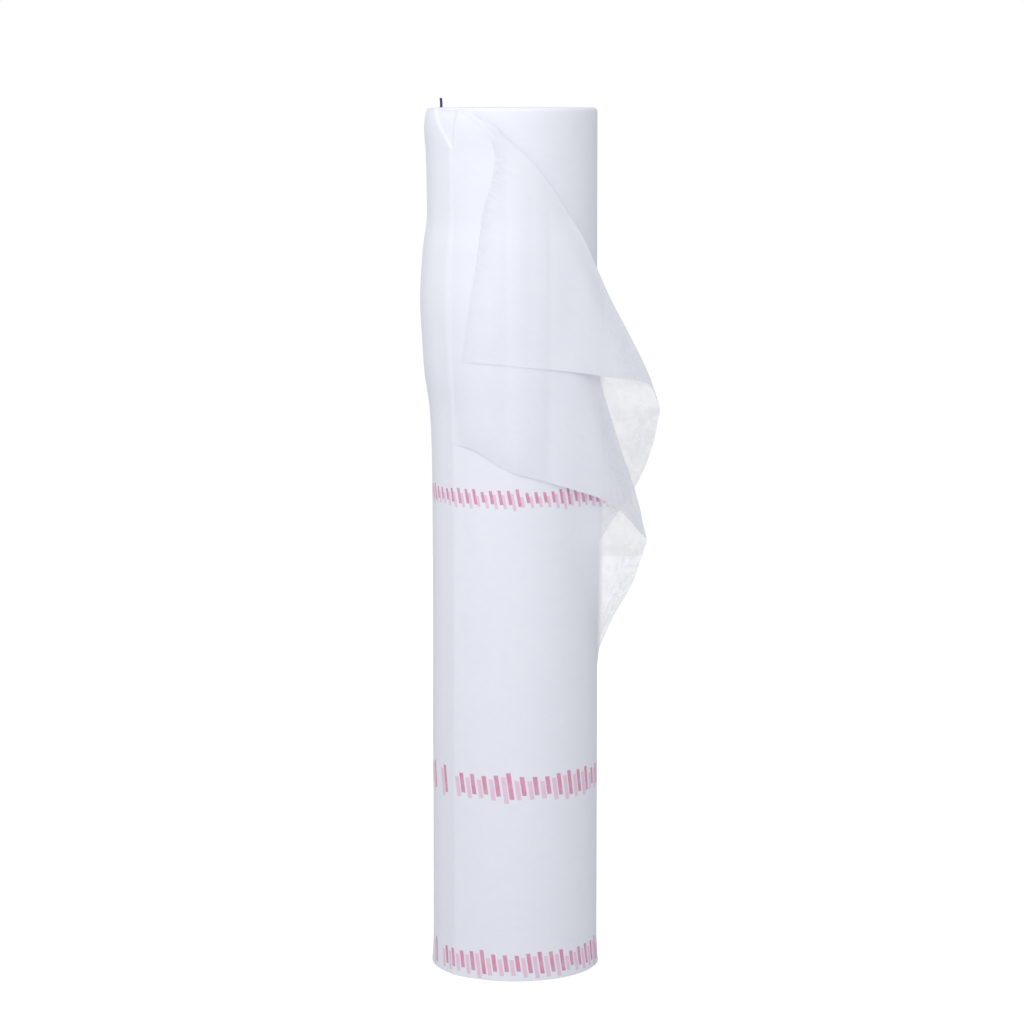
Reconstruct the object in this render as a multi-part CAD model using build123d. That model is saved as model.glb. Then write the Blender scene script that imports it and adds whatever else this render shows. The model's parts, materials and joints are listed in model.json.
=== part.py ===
from build123d import *
import math
import os

# A roll of thin white non-woven netting, stood on one end. The web is folded in half along
# its length before it is wound, so every turn is two plies, joined by the fold at the bottom
# and open at the top. The end of the web hangs loose at the top right, and the top corner of
# each ply is folded over to the front.
# Millimetres, +Z up, origin on the roll's axis at the floor, front towards -Y.
# Angles go round the axis from +X, so 180 is the left side and 270 is the front.

# Driving dimensions of the wound roll
roll_height = 1219.0
base_diameter = 232.0
top_diameter = 229.0
bore_diameter = 76.0
rim_chamfer = 4.0

# Turns that show on both ends, as rings with a shallow valley between neighbours
end_ring_count = 5
ring_valley_depth = 2.0
ring_valley_width = 4.0

# The loose last turn: two plies with a little air between them and a soft fold at the corner
ply_thickness = 0.8
ply_gap = 1.0
flap_gap = 4.2
fold_inner_radius = 1.6
floor_clearance = 2.0
start_angle = 42.0
front_angle = 210.0
back_facets = 9
front_facets = 14
free_facets = 4
flap_facets = 6
fold_facets = 3
level_turn_angle = 10.5

# How far the loose turn stands off the left side, up the roll
slack_rows_shares = (
    # height share, slack as a share of the base radius
    (0.61, 0.0),
    (0.70, 0.085),
    (0.78, 0.135),
    (0.88, 0.05),
    (1.00, 0.075),
)

# Where each ply peels off the roll below its folded corner, and where its cut end would lie
outer_cut_angle = 376.2
inner_cut_angle = 382.7
outer_peel_rows_shares = (
    # height share, angle at which the ply leaves the roll
    (0.335, 375.0),
    (0.350, 367.0),
    (0.371, 358.0),
    (0.4045, 338.5),
    (0.4455, 321.3),
    (0.504, 308.5),
)
inner_peel_rows_shares = (
    (0.370, 381.0),
    (0.388, 369.0),
    (0.410, 356.4),
    (0.4595, 345.1),
    (0.5085, 334.2),
    (0.562, 320.4),
    (0.610, 308.5),
    (0.6595, 305.9),
)

# Above its tip each ply leaves the roll along the same line, further left towards the top
leave_rows_shares = (
    # height share, angle at which the plies leave the roll
    (0.504, 308.5),
    (0.607, 306.5),
    (0.6915, 305.5),
    (0.781, 304.0),
    (0.820, 300.5),
    (0.883, 285.0),
    (0.945, 260.0),
    (0.976, 241.0),
    (0.996, 222.0),
)

# The folded corner of each ply, from its lowest tip to the top edge
outer_fold_rows_shares = (
    # height share, free length as a share of the radius, angle of the flap's edge
    (0.504, 1.181, 230.0),
    (0.565, 0.982, 230.0),
    (0.607, 0.797, 230.0),
    (0.6915, 0.474, 230.0),
    (0.781, 0.215, 231.0),
    (0.883, 0.145, 236.0),
    (0.945, 0.187, 234.0),
    (0.976, 0.215, 226.0),
    (0.996, 0.25, 213.0),
)
inner_fold_rows_shares = (
    (0.6595, 1.341, 234.0),
    (0.704, 1.094, 234.0),
    (0.744, 0.853, 236.5),
    (0.781, 0.611, 239.5),
    (0.820, 0.423, 243.0),
    (0.883, 0.310, 250.0),
    (0.945, 0.345, 246.0),
    (0.976, 0.350, 234.0),
    (0.996, 0.38, 217.0),
)
outer_corner_share = 0.616
inner_corner_share = 0.715
corner_steps = 7
first_flap_share = 0.03

# The short blue peg in the top end, beside the loose corner
peg_diameter = 3.6
peg_height = 13.0
peg_depth = 14.0
peg_lean_angle = 11.0
peg_lean_share = 0.6
peg_clearance = 0.15
peg_chamfer = 0.8
peg_angle = 195.0
peg_rim_distance = 8.5

# Room for cuts to run past a face
overrun = 1.0

base_radius = base_diameter / 2
top_radius = top_diameter / 2
bore_radius = bore_diameter / 2


def between(rows, height_share):
    """Read a table of rows at a height share, straight between its rows."""
    if height_share <= rows[0][0]:
        return rows[0][1:]
    for low, high in zip(rows, rows[1:]):
        if height_share <= high[0]:
            step = (height_share - low[0]) / (high[0] - low[0])
            return tuple(a + (b - a) * step for a, b in zip(low[1:], high[1:]))
    return rows[-1][1:]


def roll_radius(height):
    """Outer radius of the wound roll, a little wider at the base than at the top."""
    return base_radius + (top_radius - base_radius) * height / roll_height


def ring_valleys(face_height, into):
    """Rings to cut from one end, so that the turns stand apart there."""
    pitch = (top_radius - rim_chamfer - bore_radius) / (end_ring_count + 1)
    valleys = []
    for number in range(end_ring_count):
        middle = bore_radius + pitch * (number + 1)
        profile = Polyline(
            (middle - ring_valley_width / 2, 0, face_height),
            (middle, 0, face_height + into * ring_valley_depth),
            (middle + ring_valley_width / 2, 0, face_height),
            (middle, 0, face_height - into * overrun),
            close=True,
        )
        valleys.append(revolve(make_face(profile), axis=Axis.Z))
    return valleys


def make_wound_roll():
    """The wound web: one turned solid with its bore, its rims eased and its turns on both ends."""
    profile = Polyline(
        (bore_radius, 0, 0),
        (base_radius - rim_chamfer, 0, 0),
        (roll_radius(rim_chamfer), 0, rim_chamfer),
        (roll_radius(roll_height - rim_chamfer), 0, roll_height - rim_chamfer),
        (top_radius - rim_chamfer, 0, roll_height),
        (bore_radius, 0, roll_height),
        close=True,
    )
    roll = revolve(make_face(profile), axis=Axis.Z)
    roll -= ring_valleys(0, 1)
    roll -= ring_valleys(roll_height, -1)
    return roll - make_peg(peg_clearance)


def make_peg(clearance=0.0):
    """The peg, a round rod that leans to the left above the roll, or the hole that it fits."""
    distance = top_radius - peg_rim_distance
    angle = math.radians(peg_angle)
    foot = Vector(distance * math.cos(angle), distance * math.sin(angle), roll_height - peg_depth)
    shank_top = foot + Vector(0, 0, peg_depth + peg_height * (1 - peg_lean_share))
    lean = math.radians(peg_lean_angle)
    lean_radius = peg_height * peg_lean_share / math.sin(lean)
    tip = shank_top + Vector(-lean_radius * (1 - math.cos(lean)), 0, lean_radius * math.sin(lean))
    path = Wire([Line(foot, shank_top), TangentArc(shank_top, tip, tangent=(0, 0, 1))])
    section = Plane(foot, z_dir=(0, 0, 1)) * Circle(peg_diameter / 2 + clearance)
    peg = sweep(section, path=path)
    if clearance:
        return peg
    return chamfer(peg.faces().sort_by(Axis.Z)[-1].edges(), peg_chamfer)


class PlyLevel:
    """One level section of a ply: facets round the roll, a straight free length, and its fold."""

    def __init__(self, height_share, offset, leave_angle, free_share, flap=(0.0, 0.0, 0.0)):
        slack = between(slack_rows_shares, height_share)[0] * base_radius
        height = max(roll_height * height_share, floor_clearance)
        angle = math.radians(leave_angle)
        self.middle = Vector(-slack / 2, 0, height)
        self.radius = roll_radius(height) + slack / 2 + offset
        self.leave_angle = leave_angle
        self.free_length = free_share * self.radius
        self.flap_angle, self.flap_share, self.fold_radius = flap
        self.outward = Vector(math.cos(angle), math.sin(angle), 0)
        self.along = Vector(-math.sin(angle), math.cos(angle), 0)

    def straight_point(self, distance, rise):
        """A point on the free length, beyond the place where the ply leaves the roll."""
        return self.middle + self.outward * (self.radius + rise) + self.along * distance

    def straight_points(self, from_distance, to_distance, count, rise):
        """Corners of a run of facets along the free length, without the first."""
        step = (to_distance - from_distance) / count
        return [self.straight_point(from_distance + step * (number + 1), rise) for number in range(count)]

    def round_points(self, from_angle, to_angle, count, rise):
        """Corners of a run of flat facets laid round the roll, clear of it at their middles."""
        step = (to_angle - from_angle) / count
        reach = self.radius / math.cos(math.radians(step / 2)) + rise
        points = []
        for number in range(count + 1):
            turned = math.radians(from_angle + step * number)
            points.append(self.middle + Vector(math.cos(turned), math.sin(turned), 0) * reach)
        return points

    def wall_points(self, rise):
        """One face of the main wall, from its start to the end of its free length."""
        back = self.round_points(start_angle, front_angle, back_facets, rise)
        front = self.round_points(front_angle, self.leave_angle, front_facets, rise)
        return back[:-1] + front + self.straight_points(0, self.free_length, free_facets, rise)

    def fold_points(self, radius):
        """The bend of the fold, between the end of the main wall and the start of the flap."""
        centre = self.straight_point(self.free_length, ply_thickness + self.fold_radius)
        turns = [math.pi * number / fold_facets for number in range(1, fold_facets)]
        return [centre + (self.along * math.sin(t) - self.outward * math.cos(t)) * radius for t in turns]

    def flap_points(self, rise):
        """One face of the flap, from the fold back over the front of the roll."""
        full_length = self.free_length + math.radians(self.leave_angle - self.flap_angle) * self.radius
        length = full_length * self.flap_share
        tip = self.straight_point(self.free_length, rise)
        if length <= self.free_length:
            edge = self.free_length - length
            return [tip] + self.straight_points(self.free_length, edge, free_facets + flap_facets, rise)
        edge_angle = self.leave_angle - math.degrees((length - self.free_length) / self.radius)
        straight_part = self.straight_points(self.free_length, 0, free_facets, rise)[:-1]
        round_part = self.round_points(self.leave_angle, edge_angle, flap_facets, rise)
        return [tip] + straight_part + round_part

    def sides(self):
        """The corners along the back and along the front of the sheet, from its start to its end."""
        back = self.wall_points(0)
        front = self.wall_points(ply_thickness)
        if self.flap_share:
            near_rise = ply_thickness + 2 * self.fold_radius
            far_rise = near_rise + ply_thickness
            back += self.fold_points(self.fold_radius + ply_thickness) + self.flap_points(far_rise)
            front += self.fold_points(self.fold_radius) + self.flap_points(near_rise)
        return back, front


def flat_face(*corners):
    return Face(Wire.make_polygon(corners, close=True))


def band_faces(low, high):
    """Flat triangles between two lines of corners, all divided the same way, so that walls stay even."""
    faces = []
    for place in range(len(low) - 1):
        faces.append(flat_face(low[place], low[place + 1], high[place + 1]))
        faces.append(flat_face(low[place], high[place + 1], high[place]))
    return faces


def stack_levels(levels):
    """A thin solid through a stack of levels, in flat triangles from each level to the next."""
    stack = [level.sides() for level in levels]
    faces = []
    for back, front in (stack[0], stack[-1]):
        faces.append(flat_face(*back, *front[::-1]))
    for (low_back, low_front), (high_back, high_front) in zip(stack, stack[1:]):
        faces += band_faces(low_back, high_back) + band_faces(low_front, high_front)
        for place in (0, -1):
            faces += band_faces([low_back[place], low_front[place]], [high_back[place], high_front[place]])
    return Solid(Shell(faces))


def finer(height_shares, angle_rows):
    """Put heights between those given, so that the leaving angle changes little by little."""
    fine = [height_shares[0]]
    for low, high in zip(height_shares, height_shares[1:]):
        turn = abs(between(angle_rows, high)[0] - between(angle_rows, low)[0])
        count = math.ceil(turn / level_turn_angle)
        fine += [low + (high - low) * (number + 1) / count for number in range(count)]
    return fine


def make_ply(offset, cut_angle, peel_rows, fold_rows, corner_share, fold_radius):
    """One ply of the last turn: tight below, peeling off at the front, its top corner folded over."""
    lower = []
    for share in [0.0] + finer([row[0] for row in peel_rows], peel_rows):
        leave_angle = between(peel_rows, share)[0]
        lower.append(PlyLevel(share, offset, leave_angle, math.radians(cut_angle - leave_angle)))
    tip_share = fold_rows[0][0]
    corner_span = corner_share - tip_share
    growing = [tip_share + corner_span * step / corner_steps for step in range(corner_steps)]
    rows = sorted({row[0] for row in fold_rows + leave_rows_shares if row[0] >= corner_share})
    upper = []
    for share in growing + finer(rows, leave_rows_shares):
        leave_angle = between(leave_rows_shares, share)[0]
        free_share, flap_angle = between(fold_rows, share)
        flap_share = min(max((share - tip_share) / corner_span, first_flap_share), 1.0)
        flap = (flap_angle, flap_share, fold_radius)
        upper.append(PlyLevel(share, offset, leave_angle, free_share, flap))
    return stack_levels(lower) + stack_levels(upper)


# The plies lie on the roll in order, inner then outer, and their flaps come back over them
inner_offset = ply_gap
outer_offset = inner_offset + ply_thickness + ply_gap
outer_flap_offset = outer_offset + ply_thickness + 2 * fold_inner_radius
inner_flap_offset = outer_flap_offset + ply_thickness + flap_gap
inner_fold_radius = (inner_flap_offset - inner_offset - ply_thickness) / 2
outer_ply_values = (outer_cut_angle, outer_peel_rows_shares, outer_fold_rows_shares, outer_corner_share)
inner_ply_values = (inner_cut_angle, inner_peel_rows_shares, inner_fold_rows_shares, inner_corner_share)

parts = {
    "wound_roll": make_wound_roll(),
    "loose_outer_ply": make_ply(outer_offset, *outer_ply_values, fold_inner_radius),
    "loose_inner_ply": make_ply(inner_offset, *inner_ply_values, inner_fold_radius),
    "blue_peg": make_peg(),
}

os.makedirs("parts", exist_ok=True)
for name, shape in parts.items():
    export_step(shape, f"parts/{name}.step")
    print(name, "volume", round(shape.volume), "valid", shape.is_valid)
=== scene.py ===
# %% [markdown]
# This lesson dresses a roll of white insulation netting that stands on its end. The web is thin
# spun-bonded cloth, folded in half along its length and wound double. The end of the last turn
# hangs loose at the top right, and the top corner of each of its two plies is folded over to the
# front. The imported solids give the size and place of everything, so they are loaded first.

import json
import math

import bpy
import numpy as np
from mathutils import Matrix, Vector, noise

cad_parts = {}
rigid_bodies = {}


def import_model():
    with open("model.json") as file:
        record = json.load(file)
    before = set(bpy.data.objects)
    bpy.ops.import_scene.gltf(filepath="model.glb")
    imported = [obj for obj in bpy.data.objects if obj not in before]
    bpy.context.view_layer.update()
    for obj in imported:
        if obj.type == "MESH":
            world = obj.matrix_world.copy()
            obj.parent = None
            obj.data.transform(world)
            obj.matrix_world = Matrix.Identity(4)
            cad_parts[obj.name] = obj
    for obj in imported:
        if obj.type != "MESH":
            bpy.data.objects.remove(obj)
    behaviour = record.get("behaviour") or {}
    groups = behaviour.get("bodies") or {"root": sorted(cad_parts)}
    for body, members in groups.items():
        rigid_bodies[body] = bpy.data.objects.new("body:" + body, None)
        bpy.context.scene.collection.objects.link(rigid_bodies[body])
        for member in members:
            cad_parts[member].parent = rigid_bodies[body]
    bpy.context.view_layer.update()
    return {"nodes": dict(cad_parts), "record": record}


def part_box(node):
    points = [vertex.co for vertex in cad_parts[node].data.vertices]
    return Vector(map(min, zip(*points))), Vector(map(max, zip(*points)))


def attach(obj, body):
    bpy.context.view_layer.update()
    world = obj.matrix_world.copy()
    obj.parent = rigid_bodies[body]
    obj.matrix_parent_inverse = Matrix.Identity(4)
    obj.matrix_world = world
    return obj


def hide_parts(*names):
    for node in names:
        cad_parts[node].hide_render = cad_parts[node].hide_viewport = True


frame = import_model()

# %% [markdown]
# The roll's own sizes come from its solid and from the mount that its bore states. Its radius
# shrinks a little towards the top, so it is read as a straight taper between the two ends.

# %% Sizes of the wound roll
wound_low, wound_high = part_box("wound_roll")
roll_height = wound_high.z
base_radius = wound_high.x
bore_radius = frame["record"]["mounts"][0]["dims"]["r_mm"] / 1000
rim_reach = 0.006


def widest_near(node, height, reach):
    """The largest radius of a solid close to a height."""
    corners = np.array([vertex.co for vertex in frame["nodes"][node].data.vertices])
    near = corners[abs(corners[:, 2] - height) < reach]
    return float(np.hypot(near[:, 0], near[:, 1]).max())


top_radius = widest_near("wound_roll", roll_height, rim_reach)


def roll_radius(height):
    return base_radius + (top_radius - base_radius) * np.asarray(height) / roll_height


print("roll", round(base_radius, 4), "to", round(top_radius, 4), "bore", bore_radius)

# %% [markdown]
# The camera stands where the photographer's stood: straight in front, just above the top of the
# roll, looking a little down with a long lens, so the roll's sides stay almost parallel.

# %% Camera
camera_place = (-0.0045, -4.40, 1.2351)
camera_below_level = 7.566
camera_tilt = math.radians(90 - camera_below_level)
camera_lens = 110.21

camera = bpy.data.objects.new("camera", bpy.data.cameras.new("camera"))
camera.location = camera_place
camera.rotation_euler = (camera_tilt, 0, 0)
camera.data.lens = camera_lens
bpy.context.scene.collection.objects.link(camera)
bpy.context.scene.camera = camera
print("camera at", camera_place)

# %% [markdown]
# Several materials need the same few steps in a node tree: add a node, set its values, link its
# sockets. Three short helpers keep the trees readable. A link is written as (node, socket name).


# %% Helpers for node trees
def add_node(tree, kind, inputs=None, **settings):
    """Add a node. inputs maps socket names or numbers to a value or to a (node, socket) pair."""
    node = tree.nodes.new(kind)
    for name, value in settings.items():
        setattr(node, name, value)
    for socket, value in (inputs or {}).items():
        if isinstance(value, tuple) and len(value) == 2 and isinstance(value[0], bpy.types.Node):
            tree.links.new(value[0].outputs[value[1]], node.inputs[socket])
        else:
            node.inputs[socket].default_value = value
    return node


def calculate(tree, operation, *values):
    """A math node that works on numbers or on (node, socket) pairs, as a pair to link from."""
    return add_node(tree, "ShaderNodeMath", dict(enumerate(values)), operation=operation), 0


def new_group(name, tree_type, inputs, outputs):
    """A node group with its named sockets, and its two end nodes."""
    group = bpy.data.node_groups.new(name, tree_type)
    for socket_name, kind, value in inputs:
        socket = group.interface.new_socket(socket_name, in_out="INPUT", socket_type=kind)
        if value is not None:
            socket.default_value = value
    for socket_name, kind in outputs:
        group.interface.new_socket(socket_name, in_out="OUTPUT", socket_type=kind)
    return group, group.nodes.new("NodeGroupInput"), group.nodes.new("NodeGroupOutput")


print("helpers ready")

# %% [markdown]
# Spun-bonded web is a felt of fine endless threads, laid at random and welded at small points.
# It has three scales: clouds of thicker and thinner felt a few centimetres wide, thread streaks
# about a millimetre wide, and the rows of weld points. One node group makes all three from any
# coordinates, so the wound roll and both loose plies share it.

# %% Node group: spun-bonded web
web_inputs = [
    ("Place", "NodeSocketVector", None),
    ("Cloud Scale", "NodeSocketFloat", 38.0),
    ("Thread Scale", "NodeSocketFloat", 420.0),
    ("Weld Pitch", "NodeSocketFloat", 0.0022),
]
web_outputs = [
    ("Density", "NodeSocketFloat"),
    ("Height", "NodeSocketFloat"),
]
cloud_detail = 5.0
cloud_distortion = 1.6
cloud_share = 0.7
thread_detail = 4.0
thread_distortion = 3.0
thread_stretch = (1.0, 1.0, 0.35)
thread_share = 0.3
weld_randomness = 0.25
weld_share = 0.35

web_group, web_in, web_out = new_group("spun_bonded_web", "ShaderNodeTree", web_inputs, web_outputs)
web_place = (web_in, "Place")
cloud = add_node(
    web_group,
    "ShaderNodeTexNoise",
    {
        "Vector": web_place,
        "Scale": (web_in, "Cloud Scale"),
        "Detail": cloud_detail,
        "Distortion": cloud_distortion,
    },
)
thread_mapping = add_node(web_group, "ShaderNodeMapping", {"Vector": web_place, "Scale": thread_stretch})
thread = add_node(
    web_group,
    "ShaderNodeTexNoise",
    {
        "Vector": (thread_mapping, 0),
        "Scale": (web_in, "Thread Scale"),
        "Detail": thread_detail,
        "Distortion": thread_distortion,
    },
)
weld_place = add_node(
    web_group, "ShaderNodeVectorMath", {0: web_place, 1: (web_in, "Weld Pitch")}, operation="DIVIDE"
)
weld = add_node(
    web_group,
    "ShaderNodeTexVoronoi",
    {"Vector": (weld_place, 0), "Scale": 1.0, "Randomness": weld_randomness},
)
cloud_density = calculate(web_group, "MULTIPLY", (cloud, 0), cloud_share)
thread_density = calculate(web_group, "MULTIPLY", (thread, 0), thread_share)
density = calculate(web_group, "ADD", cloud_density, thread_density)
weld_height = calculate(web_group, "MULTIPLY", (weld, "Distance"), weld_share)
web_height = calculate(web_group, "ADD", (thread, 0), weld_height)
web_group.links.new(density[0].outputs[0], web_out.inputs["Density"])
web_group.links.new(web_height[0].outputs[0], web_out.inputs["Height"])
print("group", web_group.name, "with", len(web_group.nodes), "nodes")

# %% [markdown]
# Three bands of pink ink run round the roll. Here they are plain rows of slanted ticks of uneven
# height. A group turns web coordinates into one row: it divides the length into cells, draws one
# tick in each, and uses a random number for each cell to vary its height and leave some out.

# %% Node group: a row of printed ticks
tick_inputs = [
    ("Place", "NodeSocketVector", None),
    ("Row Height", "NodeSocketFloat", 0.03),
    ("Row Middle", "NodeSocketFloat", 0.5),
    ("Pitch", "NodeSocketFloat", 0.014),
    ("Shift", "NodeSocketFloat", 0.0),
]
tick_slant = 0.35
tick_width = 0.36
tick_least_height = 0.5
tick_missing = 0.08
tick_group, tick_in, tick_out = new_group(
    "printed_ticks", "ShaderNodeTree", tick_inputs, [("Ink", "NodeSocketFloat")]
)
web_axes = add_node(tick_group, "ShaderNodeSeparateXYZ", {0: (tick_in, "Place")})
above_middle = calculate(tick_group, "SUBTRACT", (web_axes, "Y"), (tick_in, "Row Middle"))
row_share = calculate(tick_group, "DIVIDE", above_middle, (tick_in, "Row Height"))
shifted = calculate(tick_group, "ADD", (web_axes, "X"), (tick_in, "Shift"))
upright_cells = calculate(tick_group, "DIVIDE", shifted, (tick_in, "Pitch"))
cells = calculate(tick_group, "MULTIPLY_ADD", row_share, tick_slant, upright_cells)
cell_number = calculate(tick_group, "FLOOR", cells)
cell_share = calculate(tick_group, "FRACT", cells)
chance = add_node(tick_group, "ShaderNodeTexWhiteNoise", {"W": cell_number}, noise_dimensions="1D")
tick_height = calculate(tick_group, "MULTIPLY_ADD", (chance, 0), 1 - tick_least_height, tick_least_height)
from_middle = calculate(tick_group, "MULTIPLY", calculate(tick_group, "ABSOLUTE", row_share), 2.0)
in_row = calculate(tick_group, "LESS_THAN", from_middle, tick_height)
in_tick = calculate(tick_group, "LESS_THAN", cell_share, tick_width)
is_kept = calculate(tick_group, "GREATER_THAN", (chance, 0), tick_missing)
tick_ink = calculate(tick_group, "MULTIPLY", calculate(tick_group, "MULTIPLY", in_row, in_tick), is_kept)
tick_group.links.new(tick_ink[0].outputs[0], tick_out.inputs["Ink"])
print("group", tick_group.name, "with", len(tick_group.nodes), "nodes")

# %% [markdown]
# Every netting material starts the same way: a matte white shader, the web group for its mottle
# and bump, and optional rows of ticks. The ink is in the web, so it only tints the base colour.
# Under each row lies a paler one, out of step, which is the print of the turn below showing
# through. Loose cloth is see-through, more so where the felt is thin, so its alpha follows an
# attribute for how loose it is and the density of the felt. Its two faces lie close together, and
# only the one turned to the ray is drawn, or the cloth would count twice. A part of the light
# that falls on a loose ply goes on through it, or the cloth below would lie in a shadow that thin
# web never casts.

# %% Material builder for netting
web_white = (0.868, 0.882, 0.945, 1.0)
web_shadow = (0.81, 0.825, 0.90, 1.0)
ink_pink = (0.68, 0.12, 0.28, 1.0)
ghost_pink = (0.82, 0.49, 0.66, 1.0)
print_rows = (
    # middle height, row height, tick pitch
    (0.6855, 0.026, 0.0125),
    (0.280, 0.042, 0.0180),
    (0.026, 0.038, 0.0165),
)
ink_least = 0.35
ink_mottle = 0.7
ghost_rise = -0.006
ghost_shift = 0.0072
web_roughness = 0.82
web_shine = 0.25
web_sheen = 0.08
bump_strength = 0.22
bump_distance = 0.0004
opaque = 1.0
loose_least_alpha = 0.3
light_through = 0.5
# How clear loose cloth is, as shares of the clearest: on average, and where the felt is thickest
mean_clear_share = 0.72
thick_clear_share = 0.45
thin_density = 0.3
thick_density = 0.7


def tint(tree, colour, mask, ink):
    """Mix ink over a colour where a mask says."""
    mix = add_node(tree, "ShaderNodeMix", data_type="RGBA")
    tree.links.new(mask[0].outputs[mask[1]], mix.inputs["Factor"])
    tree.links.new(colour[0].outputs[colour[1]], mix.inputs["A"])
    mix.inputs["B"].default_value = ink
    return mix, "Result"


def netting_material(name, printed, least_alpha):
    """White spun-bonded web on UV coordinates, with or without print, and see-through where loose."""
    material = bpy.data.materials.new(name)
    material.use_nodes = True
    tree = material.node_tree
    shader = tree.nodes["Principled BSDF"]
    shader.inputs["Roughness"].default_value = web_roughness
    shader.inputs["Specular IOR Level"].default_value = web_shine
    shader.inputs["Sheen Weight"].default_value = web_sheen
    place = add_node(tree, "ShaderNodeTexCoord"), "UV"
    web = add_node(tree, "ShaderNodeGroup", node_tree=web_group)
    tree.links.new(place[0].outputs[place[1]], web.inputs["Place"])
    mottle = add_node(tree, "ShaderNodeMix", data_type="RGBA")
    tree.links.new(web.outputs["Density"], mottle.inputs["Factor"])
    mottle.inputs["A"].default_value = web_shadow
    mottle.inputs["B"].default_value = web_white
    colour = mottle, "Result"
    for middle, height, pitch in print_rows if printed else ():
        for rise, shift, ink in ((ghost_rise, ghost_shift, ghost_pink), (0.0, 0.0, ink_pink)):
            row = add_node(tree, "ShaderNodeGroup", node_tree=tick_group)
            tree.links.new(place[0].outputs[place[1]], row.inputs["Place"])
            row.inputs["Row Height"].default_value = height
            row.inputs["Row Middle"].default_value = middle + rise
            row.inputs["Pitch"].default_value = pitch
            row.inputs["Shift"].default_value = shift
            soaked = calculate(tree, "MULTIPLY_ADD", (web, "Density"), ink_mottle, ink_least)
            mask = calculate(tree, "MULTIPLY", (row, "Ink"), soaked)
            colour = tint(tree, colour, mask, ink)
    tree.links.new(colour[0].outputs[colour[1]], shader.inputs["Base Color"])
    if least_alpha < opaque:
        clearest = opaque - least_alpha
        loose = add_node(tree, "ShaderNodeAttribute", attribute_name="loose")
        thin = add_node(tree, "ShaderNodeMapRange", {"Value": (web, "Density")})
        thin.inputs["From Min"].default_value = thin_density
        thin.inputs["From Max"].default_value = thick_density
        thin.inputs["To Min"].default_value = clearest
        thin.inputs["To Max"].default_value = clearest * thick_clear_share
        mottling = calculate(tree, "SUBTRACT", (thin, 0), mean_clear_share * clearest)
        mottling = calculate(tree, "MULTIPLY", mottling, (loose, "Fac"))
        clear = calculate(tree, "ADD", mottling, mean_clear_share * clearest)
        clear = calculate(tree, "MULTIPLY", clear, (loose, "Fac"))
        alpha = calculate(tree, "SUBTRACT", 1.0, clear)
        sides = add_node(tree, "ShaderNodeNewGeometry")
        outside = calculate(tree, "SUBTRACT", 1.0, (sides, "Backfacing"))
        alpha = calculate(tree, "MULTIPLY", alpha, outside)
        rays = add_node(tree, "ShaderNodeLightPath")
        lighting = calculate(tree, "MAXIMUM", (rays, "Is Shadow Ray"), (rays, "Is Diffuse Ray"))
        passing = calculate(tree, "MULTIPLY", lighting, light_through)
        alpha = calculate(tree, "MULTIPLY", alpha, calculate(tree, "SUBTRACT", 1.0, passing))
        tree.links.new(alpha[0].outputs[0], shader.inputs["Alpha"])
    bump = add_node(tree, "ShaderNodeBump", {"Strength": bump_strength, "Distance": bump_distance})
    tree.links.new(web.outputs["Height"], bump.inputs["Height"])
    tree.links.new(bump.outputs[0], shader.inputs["Normal"])
    return material


wound_material = netting_material("wound_netting", True, opaque)
outer_material = netting_material("outer_ply_netting", True, loose_least_alpha)
inner_material = netting_material("inner_ply_netting", False, loose_least_alpha)
print("netting materials:", wound_material.name, outer_material.name, inner_material.name)

# %% [markdown]
# The wound roll shows its side at the top right and its turns on both ends. The side is a lathe
# form: a profile carried round the axis. Its ends are sunk a little, because the edges of the
# turns stand there. The grid helper below joins rows of points into faces with UVs in metres,
# and the loose plies use it later.


# %% A grid of points as a mesh
def grid_faces(rows, columns, first=0):
    """Four-sided faces of a grid of numbered points."""
    corner = first + np.arange(rows - 1)[:, None] * columns + np.arange(columns - 1)[None, :]
    return np.stack([corner, corner + 1, corner + columns + 1, corner + columns], -1).reshape(-1, 4)


def new_piece(name, points, faces, uvs, material):
    """A smooth mesh object at the origin, with a UV for each point."""
    mesh = bpy.data.meshes.new(name)
    mesh.from_pydata(points.tolist(), [], faces.tolist())
    layer = mesh.uv_layers.new(name="web")
    corner_points = np.empty(len(mesh.loops), dtype=np.int32)
    mesh.loops.foreach_get("vertex_index", corner_points)
    layer.data.foreach_set("uv", uvs[corner_points].astype(np.float32).ravel())
    mesh.polygons.foreach_set("use_smooth", [True] * len(mesh.polygons))
    mesh.materials.append(material)
    piece = bpy.data.objects.new(name, mesh)
    bpy.context.scene.collection.objects.link(piece)
    return piece


# %% The lathe body of the roll
end_sink = 0.0025
rim_round = 0.006
rim_steps = 5
side_steps = 60
round_steps = 144

profile = [(bore_radius, roll_height - end_sink), (bore_radius, end_sink)]
for step in range(rim_steps + 1):
    turn = math.pi / 2 * step / rim_steps
    profile.append((base_radius - rim_round * (1 - math.sin(turn)), rim_round * (1 - math.cos(turn))))
for step in range(1, side_steps):
    height = rim_round + (roll_height - 2 * rim_round) * step / side_steps
    profile.append((float(roll_radius(height)), height))
for step in range(rim_steps + 1):
    turn = math.pi / 2 * step / rim_steps
    inset = rim_round * (1 - math.cos(turn))
    profile.append((top_radius - inset, roll_height - rim_round * (1 - math.sin(turn))))
profile.append(profile[0])
profile = np.array(profile)
turns = np.linspace(0, 2 * math.pi, round_steps + 1)
side = np.stack(
    [
        profile[:, None, 0] * np.cos(turns),
        profile[:, None, 0] * np.sin(turns),
        np.repeat(profile[:, None, 1], len(turns), 1),
    ],
    -1,
)
side_uvs = np.stack([np.broadcast_to(turns * base_radius, side.shape[:2]), side[..., 2]], -1)
roll = new_piece(
    "wound_netting_roll",
    side.reshape(-1, 3),
    grid_faces(len(profile), len(turns)),
    side_uvs.reshape(-1, 2),
    wound_material,
)
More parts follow.
